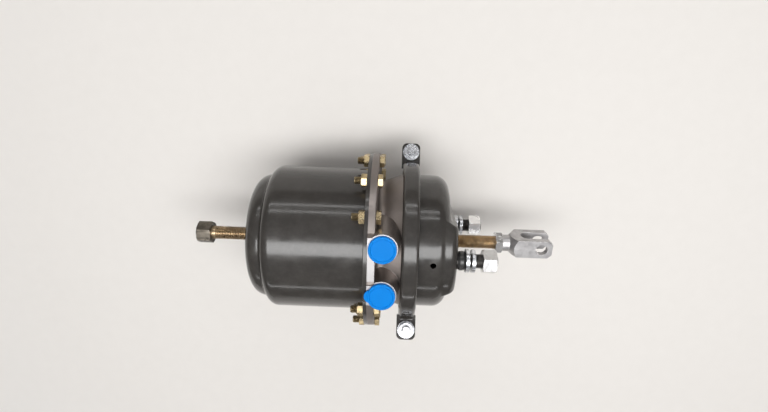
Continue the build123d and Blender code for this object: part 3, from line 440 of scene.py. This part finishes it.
def bar_rows(profile, thread=None, centre=(0.0, 0.0)):
    """Rows of points round a bar along X, in metres, from its outline of (x, radius) in mm.

    thread is (from, to, pitch, depth) in mm: a real thread there, which fades in over its
    first turn and runs out at the end.
    """
    x, r = np.array(profile, float).T
    at = np.arange(len(x), dtype=float)
    if thread:
        start, end, pitch, depth = thread
        shank = int(np.argmax(np.diff(x)))
        fine = shank + np.linspace(0, 1, int((x[shank + 1] - x[shank]) / pitch * THREAD_ROWS))
        at, crest = np.union1d(at, fine), r[shank + 1]
    x, r = np.interp(at, np.arange(len(x)), x), np.interp(at, np.arange(len(r)), r)
    x, r = np.meshgrid(x, ANGLE, indexing="ij")[0], np.repeat(r[:, None], SIDES, axis=1)
    if thread:
        off_crest = 2 * np.abs((x / pitch - ANGLE / (2 * np.pi)) % 1 - 0.5)
        flank = np.clip((off_crest - CREST_FLAT) / (1 - CREST_FLAT - ROOT_FLAT), 0, 1)
        cut = flank * depth * np.clip((x - start) / pitch, 0, 1)
        r = np.where((x > start) & (x < end), np.minimum(r, crest - cut), r)
    return np.stack([x, centre[0] + r * np.cos(ANGLE), centre[1] + r * np.sin(ANGLE)], axis=2) * MM


def closed_bar(name, bars, finishes, body, stands_for, head_end=-math.inf):
    """One piece made of bars: rows joined by quads, each end closed round a middle point.

    The second of two finishes goes on what lies before head_end, in mm.
    """
    points, faces, base = [], [], 0
    for rows in bars:
        count = len(rows)
        points += [rows.reshape(-1, 3), rows[[0, -1]].mean(axis=1)]
        i, j = np.meshgrid(np.arange(count - 1), np.arange(SIDES), indexing="ij")
        corner = base + i * SIDES + j
        beside = base + i * SIDES + (j + 1) % SIDES
        quads = np.stack([corner, corner + SIDES, beside + SIDES, beside], axis=-1).reshape(-1, 4)
        j = np.arange(SIDES)
        first, last = base + count * SIDES, base + (count - 1) * SIDES
        start = np.stack([base + j, base + (j + 1) % SIDES, np.full(SIDES, first)], axis=1)
        end = np.stack([last + (j + 1) % SIDES, last + j, np.full(SIDES, first + 1)], axis=1)
        faces += quads[:, ::-1].tolist() + start[:, ::-1].tolist() + end[:, ::-1].tolist()
        base += count * SIDES + 2
    mesh = bpy.data.meshes.new(name)
    mesh.from_pydata(np.concatenate(points).tolist(), [], faces)
    mesh.shade_smooth()
    mesh.set_sharp_from_angle(angle=math.radians(28))
    for finish in finishes:
        mesh.materials.append(finish)
    middles = np.empty(3 * len(mesh.polygons), np.float32)
    mesh.polygons.foreach_get("center", middles)
    in_head = middles[::3] < head_end * MM
    mesh.polygons.foreach_set("material_index", in_head.astype(np.int32))
    piece = bpy.data.objects.new(name, mesh)
    bpy.context.scene.collection.objects.link(piece)
    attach(piece, body)
    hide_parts(stands_for)
    return piece


STUD_Z = 60.325
STUD_HEAD_FACE = -3.23
STUD_HEAD_FLAT = 9.0            # from the stud's centre, where the head is cut
STUD_COLOURS = (0.10, 0.095, 0.09, 1), (0.05, 0.047, 0.045, 1), (0.34, 0.32, 0.30, 1)
NUT_COLOURS = (0.90, 0.90, 0.89, 1), (0.80, 0.79, 0.78, 1), ZINC_NEW

head = [(-7.2, 12.3), (STUD_HEAD_FACE - 0.01, 12.3)]
stud_outline = head + [(STUD_HEAD_FACE + 0.01, 8.0), (42.4, 8.0), (44.0, 6.4)]
studs = []
for side in (1, -1):
    rows = bar_rows(stud_outline, (3.0, 44.5, *FINE_THREAD))
    outward = side * rows[:, :, 2]
    cut_away = (rows[:, :, 0] < STUD_HEAD_FACE * MM) & (outward > STUD_HEAD_FLAT * MM)
    rows[:, :, 2] = np.where(cut_away, side * STUD_HEAD_FLAT * MM, rows[:, :, 2])
    rows[:, :, 2] += side * STUD_Z * MM
    studs.append(rows)
stud_steel = metal("dark studs", STUD_COLOURS, (0.30, 0.42), grime=0.6)
closed_bar("threaded_studs", studs, [stud_steel], "chamber", "mounting_studs")
coat(metal("bright zinc, nuts", NUT_COLOURS, (0.20, 0.28), grime=0.10), "stud_nuts")


# ---- Stud collars
# Each stud comes with a barrel-shaped collar of black moulded plastic that holds the washers
# and the nut back from the mounting face. It has a soft sheen.

MOULDED_RUBBED = (0.16, 0.15, 0.145, 1)


def moulded(name, light, dark, rough, grain):
    """Rubber or plastic: two near colours, an even bump of grain mm and rubbed, paler edges."""
    made, tree = material(name)
    place = add(tree, "TexCoord").outputs["Object"]
    worn = handled(tree, Edge=0.4, Dust=0.15, Scratch=0.25, Radius=0.4 * MM)
    colour = mix(tree, slope(tree, noise(tree, place, 70), 0.35, 0.65), dark, light)
    colour = mix(tree, worn["Dust"], colour, DUST)
    colour = mix(tree, maths(tree, "MAXIMUM", worn["Rub"], worn["Scratch"]), colour, MOULDED_RUBBED)
    uneven = slope(tree, noise(tree, place, 240), 0.3, 0.7, *rough)
    normal = bumped(tree, noise(tree, place, 1400, 3), grain * MM, worn["Soft"])
    look = {"Base Color": colour, "Roughness": uneven, "Normal": normal}
    finish_with(tree, add(tree, "BsdfPrincipled", look))
    return made


collar = moulded("black collar", (0.022, 0.021, 0.021, 1), (0.014, 0.014, 0.014, 1), (0.26, 0.34), 0.01)
coat(collar, "stud_collars")


# ---- Push rod, lock nut and clevis
# An M16 x 1.5 rod, yellow passivated and gone brown, comes out through the bowl's end. A bright
# zinc lock nut holds a forged clevis on it, which is machined on its ears; here the clevis has
# one satin finish, brighter on its rubbed edges.

ROD_RUBBED = (0.72, 0.60, 0.42, 1)
ROD_COLOURS = (0.60, 0.44, 0.25, 1), (0.38, 0.27, 0.16, 1), ROD_RUBBED
LOCK_NUT_COLOURS = (0.90, 0.89, 0.87, 1), (0.74, 0.73, 0.71, 1), ZINC_NEW
CLEVIS_COLOURS = (0.50, 0.49, 0.49, 1), (0.38, 0.37, 0.37, 1), (0.90, 0.90, 0.91, 1)

weld_collar = [(-76.14, 0.5), (-76.14, 11.95), (-73.16, 11.95)]
rod_outline = weld_collar + [(-69.2, 8.0), (76.4, 8.0), (78.0, 6.4)]
rod = [bar_rows(rod_outline, (4.0, 78.5, *FINE_THREAD))]
rod_steel = metal("yellow zinc rod", ROD_COLOURS, (0.28, 0.42), grime=0.6)
closed_bar("threaded_push_rod", rod, [rod_steel], "push_rod_assembly", "push_rod")
coat(metal("bright lock nut", LOCK_NUT_COLOURS, (0.16, 0.26), grime=0.12), "lock_nut")
coat(metal("satin clevis", CLEVIS_COLOURS, (0.34, 0.44), grain=0.05, grime=0.25, edge=1.0), "clevis")


# ---- Release bolt
# The bolt that cages the power spring: a long M16 x 2 stem with a brass-brown passivation, and
# a grimy hexagon head. It is shown wound out.

HEX_ROUND = 1.44                # mm turned off the head's corners
HEAD_FLATS = 24.0
HEAD_FACE = -291.8              # its front, where the stem starts
STEM_THREAD = (2.0, 1.1)        # pitch and depth, mm
STEM_COLOURS = (0.45, 0.34, 0.21, 1), (0.30, 0.22, 0.14, 1), ROD_RUBBED
HEAD_COLOURS = (0.17, 0.15, 0.125, 1), (0.10, 0.088, 0.072, 1), (0.50, 0.46, 0.40, 1)
WELDED_COLOURS = (0.50, 0.50, 0.50, 1), (0.36, 0.35, 0.34, 1), ZINC_NEW

hexagon = HEAD_FLATS / 2 / np.cos(ANGLE % (np.pi / 3) - np.pi / 6)
corner = HEAD_FLATS / 2 / math.cos(math.pi / 6)
bolt_outline = [
    (-308.79, corner - HEX_ROUND), (-308.07, corner),
    (-292.53, corner), (HEAD_FACE - 0.01, corner - HEX_ROUND),
    (HEAD_FACE, 8.0), (-160.2, 8.0), (-160.19, 11.75), (-152.22, 11.75),
]
rows = bar_rows(bolt_outline, (-288.0, -168.0, *STEM_THREAD))
in_head = rows[:, :1, 0] < (HEAD_FACE - 0.005) * MM
reach = np.hypot(rows[:, :, 1], rows[:, :, 2])
rows[:, :, 1:] *= np.where(in_head & (reach > hexagon * MM), hexagon * MM / reach, 1.0)[:, :, None]
stem = metal("brass brown stem", STEM_COLOURS, (0.22, 0.34), grime=0.6)
head = metal("grimy zinc head", HEAD_COLOURS, (0.24, 0.38), grime=0.9)
closed_bar(
    "threaded_release_bolt", [rows], [stem, head], "release_screw", "release_bolt", HEAD_FACE
)
coat(metal("welded nut", WELDED_COLOURS, (0.30, 0.42), grime=0.5), "release_nut")


# ---- Inside the spring chamber
# A die-cast piston with a rubber seal and a plastic guide ring runs in the housing. It pushes a
# ground steel tube through the flange, and a coated spring of thick wire stands behind it.

PISTON_COLOURS = (0.62, 0.62, 0.63, 1), (0.50, 0.50, 0.51, 1), CAST_CUT
GROUND_COLOURS = (0.60, 0.60, 0.60, 1), (0.50, 0.50, 0.50, 1), ZINC_NEW
WIRE_COLOURS = (0.13, 0.14, 0.15, 1), (0.08, 0.085, 0.09, 1), (0.40, 0.40, 0.41, 1)

coat(metal("cast piston", PISTON_COLOURS, (0.36, 0.48), grain=0.08, grime=0.15), "spring_piston")
coat(metal("ground steel", GROUND_COLOURS, (0.14, 0.22), grime=0.1), "piston_tube", "release_thrust_washer")
wire = metal("coated spring wire", WIRE_COLOURS, (0.36, 0.50), grain=0.05, grime=0.3, shine=0.5)
coat(wire, "power_spring", "return_spring")
rubber = moulded("black rubber", (0.030, 0.029, 0.028, 1), (0.020, 0.020, 0.020, 1), (0.55, 0.72), 0.05)
coat(rubber, "piston_seal", "housing_seal", "rod_seal")
plastic = moulded("dark plastic", (0.075, 0.074, 0.073, 1), (0.055, 0.054, 0.053, 1), (0.42, 0.52), 0.03)
coat(plastic, "piston_guide_ring", "rod_bush", "thrust_pad")


# ---- Inside the service chamber
# Air pushes a fabric-backed rubber diaphragm against a pressed plate at the foot of the push
# rod. A plastic guide in the bowl's end keeps dirt off the rod.

PLATE_COLOURS = (0.58, 0.57, 0.54, 1), (0.44, 0.43, 0.40, 1), ZINC_NEW

coat(metal("pressed plate", PLATE_COLOURS, (0.28, 0.40), grime=0.3), "push_plate")
weave = moulded("diaphragm rubber", (0.034, 0.033, 0.032, 1), (0.022, 0.022, 0.022, 1), (0.50, 0.66), 0.10)
coat(weave, "diaphragm")
coat(plastic, "rod_guide")
